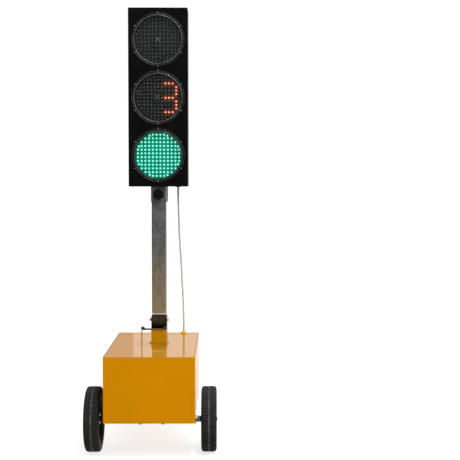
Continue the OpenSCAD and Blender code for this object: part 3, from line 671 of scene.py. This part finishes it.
def lens(where):
    """The clear dome and its two-beaded rim; the upper two have a cross moulded in the middle."""
    low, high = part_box("lens_" + where)
    centre = (low + high) / 2
    radius = (high.x - low.x) / 2
    clear = radius - RIM_WIDTH
    ball = (clear * clear + DOME_RISE * DOME_RISE) / (2 * DOME_RISE)
    front, steps = low.y, 14
    dome = []
    for k in range(steps + 1):
        r = clear * k / steps
        sink = ball - math.sqrt(ball * ball - r * r)
        dome.append((front + sink, max(r, 0.0002)))
    dome += [(y + DOME_T, r) for y, r in reversed(dome)]
    points, faces = lathe(dome, Vector((centre.x, 0, centre.z)), "y", DOME_STEPS)
    glass = make(
        "lens_dome_" + where, points, faces, [finishes["clear_lens"]], "mast"
    )
    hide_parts("lens_" + where)
    edge = front + DOME_RISE
    # (along y, radius, material): skirt, inner bead, dark channel, outer bead, back of the flange
    rim = [
        (edge + SKIRT_DEPTH, clear - 0.0008, 0), (edge - 0.0002, clear - 0.0008, 1),
        (edge - 0.0014, clear - 0.0002, 1), (edge - 0.0018, clear + 0.0006, 1),
        (edge - 0.0012, clear + 0.0015, 1), (edge + 0.0006, clear + 0.0021, 2),
        (edge + 0.0008, radius - 0.0034, 2), (edge + 0.0002, radius - 0.0028, 3),
        (edge - 0.0006, radius - 0.0018, 3), (edge - 0.0002, radius - 0.0008, 3),
        (edge + 0.0010, radius - 0.0001, 3), (edge + 0.0040, radius - 0.0001, 0),
        (edge + 0.0040, clear + 0.0012, 0), (edge + SKIRT_DEPTH, clear + 0.0012, 0),
    ]
    points, faces = lathe(
        [(a, r) for a, r, _ in rim], Vector((centre.x, 0, centre.z)), "y", RIM_STEPS
    )
    marks = [rim[k % len(rim)][2] for k in range(len(faces))]
    # The lowest lens's inner bead takes the darker copy of lens_edge, painted shade.
    make(
        "lens_rim_" + where, points, faces,
        [ring_dark, lens_edge_shaded if where == "bottom" else lens_edge, ring_dark, lens_edge_dim],
        "mast", marks,
    )
    if where == "bottom":
        return
    points, faces = [], []
    for turn in (math.pi / 4, -math.pi / 4):
        along = Vector((math.cos(turn), 0, math.sin(turn)))
        side = Vector((-math.sin(turn), 0, math.cos(turn)))
        first = len(points)
        for y in (front + 0.0010, front + 0.0022):
            for s, t in ((-1, -1), (1, -1), (1, 1), (-1, 1)):
                points.append(
                    Vector((centre.x, y, centre.z))
                    + along * CROSS_ARM * s + side * CROSS_HALF * t
                )
        quads = [(0, 1, 2, 3), (7, 6, 5, 4), (0, 4, 5, 1), (1, 5, 6, 2), (2, 6, 7, 3), (3, 7, 4, 0)]
        faces += [tuple(first + v for v in q) for q in quads]
    make("lens_cross_" + where, points, faces, [lens_edge], "mast", smooth=False)


for where in ("top", "middle", "bottom"):
    lens(where)


# ---------------------------------------------------------------- tyres

TYRE_HOLE = 0.088
LUGS, STEPS_PER_LUG, LUG_H = 87, 6, 0.0020
LUG_WAVE = [0.0, 0.0, 0.8, 1.0, 1.0, 0.8]  # height over one pitch, with the groove first
MIDDLE_BAND = (12, 13, 14)  # the section's strips between the two rows of lugs


def tyre(side):
    """A solid tyre with a plain middle band and two rows of cross lugs half a pitch apart."""
    name = "tyre_" + side
    low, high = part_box(name)
    centre = (low + high) / 2
    half = (high.x - low.x) / 2
    r = (high.z - low.z) / 2
    # (x as a share of the half width, radius below the tread, share of the lug height there)
    section = [
        (-0.78, None, 0), (-0.96, 0.030, 0), (-1.0, 0.016, 0), (-0.985, 0.0105, 0),
        (-0.93, 0.0068, 0.2), (-0.86, 0.0046, 1.0), (-0.74, 0.0034, 1.0), (-0.60, 0.0027, 1.0),
        (-0.45, 0.0024, 1.0), (-0.30, 0.0022, 1.0), (-0.20, 0.0021, 1.0), (-0.165, 0.0020, 0.3),
        (-0.12, 0.0006, 0), (-0.05, 0.0001, 0), (0.05, 0.0001, 0), (0.12, 0.0006, 0),
        (0.165, 0.0020, 0.3), (0.20, 0.0021, 1.0), (0.30, 0.0022, 1.0), (0.45, 0.0024, 1.0),
        (0.60, 0.0027, 1.0), (0.74, 0.0034, 1.0), (0.86, 0.0046, 1.0), (0.93, 0.0068, 0.2),
        (0.985, 0.0105, 0), (1.0, 0.016, 0), (0.96, 0.030, 0), (0.78, None, 0),
    ]
    profile = [(x * half, TYRE_HOLE if drop is None else r - drop) for x, drop, _ in section]
    height = [share for _, _, share in section]

    def phase(i, k):
        return (i + (0 if section[k][0] < 0 else STEPS_PER_LUG // 2)) % STEPS_PER_LUG

    def radial(i, k):
        return LUG_H * height[k] * LUG_WAVE[phase(i, k)]

    points, faces = lathe(profile, centre, "x", LUGS * STEPS_PER_LUG, radial)
    bands = []
    for n in range(len(faces)):
        i, k = divmod(n, len(profile))
        # Groove faces take the near-black copy of the rubber, painted shade in the recesses.
        groove = height[k] > 0.1 and phase(i, k) in (0, 1)
        bands.append(1 if k in MIDDLE_BAND else 2 if groove else 0)
    piece = make(
        "tread_" + side, points, faces,
        [finishes["tyre_rubber"], finishes["tyre_band"], finishes["tyre_groove"]],
        "wheel_" + side, bands,
    )
    sharpen(piece, 40)
    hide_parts(name)


tyre("left")
tyre("right")


# ---------------------------------------------------------------- small trims


def gland_sleeve():
    """The rubber cone between the gland's nut and the cable."""
    low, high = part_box("gland_box")
    x, y, top = (low.x + high.x) / 2, (low.y + high.y) / 2, high.z
    # (radius, height above the gland), closed at both ends
    rings = [(0.0090, -0.0005), (0.0088, 0.0006), (0.0070, 0.0014), (0.0050, 0.0022)]
    sides = 24
    points, faces = [], []
    for r, up in rings:
        for k in range(sides):
            turn = 2 * math.pi * k / sides
            points.append((x + r * math.cos(turn), y + r * math.sin(turn), top + up))
    for i in range(len(rings) - 1):
        for k in range(sides):
            n = (k + 1) % sides
            faces.append((i * sides + k, i * sides + n, (i + 1) * sides + n, (i + 1) * sides + k))
    faces.append(tuple(range(sides))[::-1])
    faces.append(tuple(range((len(rings) - 1) * sides, len(rings) * sides)))
    make("gland_sleeve", points, faces, [finishes["yellow_gland"]], "base")


gland_sleeve()


def foot_bead():
    """A pale bead of sealant round the tube where it meets the mast's foot."""
    low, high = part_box("mast_tube")
    middle = (low + high) / 2
    half, corner, sides = (high.x - low.x) / 2, 0.004, 6
    # Flat on both sides, where the bracket's cheeks pass when the mast folds
    flat = half + 0.0002
    # (out from the tube's wall, up from its end)
    section = [
        (-0.0004, 0.0), (0.0011, 0.0004), (0.0014, 0.003), (0.0010, 0.0055), (-0.0004, 0.0065),
    ]
    points, faces = [], []
    for quarter, (hub_x, hub_y) in enumerate(((1, 1), (-1, 1), (-1, -1), (1, -1))):
        for k in range(sides + 1):
            turn = math.pi / 2 * (quarter + k / sides)
            for out, up in section:
                r = corner + out
                wobble = 0.0004 * math.sin(5 * turn + 40 * up) if up > 0.004 else 0
                x = hub_x * (half - corner) + r * math.cos(turn)
                points.append((
                    middle.x + max(-flat, min(flat, x)),
                    middle.y + hub_y * (half - corner) + r * math.sin(turn), low.z + up + wobble,
                ))
    around, across = 4 * (sides + 1), len(section)
    for i in range(around):
        j = (i + 1) % around
        for k in range(across):
            n = (k + 1) % across
            faces.append((i * across + k, j * across + k, j * across + n, i * across + n))
    make("foot_bead", points, faces, [sealant], "mast")


foot_bead()


# ---------------------------------------------------------------- floor and light

FLOOR_GLOW = 0.75  # keeps the pale floor as bright as the backdrop
BACKDROP = 1.02
ROOM_FRONT, ROOM_BACK = 0.25, 1.75
DOOR_TOWARDS, DOOR_SHINE = (0.52, -0.40, 0.75), 3.0
FLAG_SHINE = 0.64

floor_material, floor_tree, floor_shader = new_material("floor")
floor_shader.inputs["Roughness"].default_value = 0.9
floor_shader.inputs["Specular IOR Level"].default_value = 0.0
floor_tree.links.new(
    mix(floor_tree, noise(floor_tree, 3.0), (0.34, 0.34, 0.34), (0.36, 0.36, 0.36)),
    floor_shader.inputs["Base Color"],
)
floor_shader.inputs["Emission Color"].default_value = grey(1.0)
floor_shader.inputs["Emission Strength"].default_value = FLOOR_GLOW
FAR = 300
floor = make(
    "floor", [(-FAR, -FAR, 0), (FAR, -FAR, 0), (FAR, FAR, 0), (-FAR, FAR, 0)], [(0, 1, 2, 3)],
    [floor_material], None,
)
floor.visible_glossy = False

world = bpy.data.worlds.new("world")
bpy.context.scene.world = world
world.use_nodes = True
sky = world.node_tree
backdrop = sky.nodes["Background"]
backdrop.inputs["Color"].default_value = grey(1)
backdrop.inputs["Strength"].default_value = BACKDROP
# The room that the object reflects: bright behind it, dim in front of it
room = sky.nodes.new("ShaderNodeBackground")
towards = sky.nodes.new("ShaderNodeTexCoord").outputs["Generated"]
direction = sky.nodes.new("ShaderNodeSeparateXYZ")
sky.links.new(towards, direction.inputs["Vector"])
# A bright quarter high on the right, like an open door, gives the lens rims their arcs
door = sky.nodes.new("ShaderNodeVectorMath")
door.operation = "DOT_PRODUCT"
door.inputs[1].default_value = DOOR_TOWARDS
sky.links.new(towards, door.inputs[0])
both = sky.nodes.new("ShaderNodeMath")
sky.links.new(
    remap(sky, direction.outputs["Y"], -0.7, 0.7, ROOM_FRONT, ROOM_BACK), both.inputs[0]
)
sky.links.new(remap(sky, door.outputs["Value"], 0.80, 0.95, 0, DOOR_SHINE), both.inputs[1])
sky.links.new(both.outputs["Value"], room.inputs["Strength"])
seen = sky.nodes.new("ShaderNodeLightPath")
either = sky.nodes.new("ShaderNodeMixShader")
sky.links.new(seen.outputs["Is Camera Ray"], either.inputs["Fac"])
sky.links.new(room.outputs["Background"], either.inputs[1])
sky.links.new(backdrop.outputs["Background"], either.inputs[2])
sky.links.new(either.outputs["Shader"], sky.nodes["World Output"].inputs["Surface"])


def area_light(name, at, aim, size, power):
    data = bpy.data.lights.new(name, "AREA")
    data.size = size
    data.energy = power
    lamp = bpy.data.objects.new(name, data)
    bpy.context.scene.collection.objects.link(lamp)
    lamp.location = at
    lamp.rotation_euler = (Vector(aim) - Vector(at)).to_track_quat("-Z", "Y").to_euler()


area_light("key", (0.7, -2.0, 3.9), (0, 0, 0.8), 0.45, 75)
area_light("fill", (1.6, -3.6, 3.0), (0, 0, 0.7), 2.2, 55)

# A grey flag behind and to the left, which only the glossy lid shows
flag_material, _, flag_shader = new_material("flag")
flag_shader.inputs["Base Color"].default_value = grey(0.1)
flag_shader.inputs["Emission Color"].default_value = grey(1.0)
flag_shader.inputs["Emission Strength"].default_value = FLAG_SHINE
flag = make(
    "flag", [(-7, 4, 0.2), (-0.42, 4, 0.2), (-0.42, 4, 2.6), (-7, 4, 2.6)], [(0, 1, 2, 3)],
    [flag_material], None,
)
flag.visible_camera = False
flag.visible_diffuse = False

bpy.context.scene.view_settings.view_transform = "Standard"
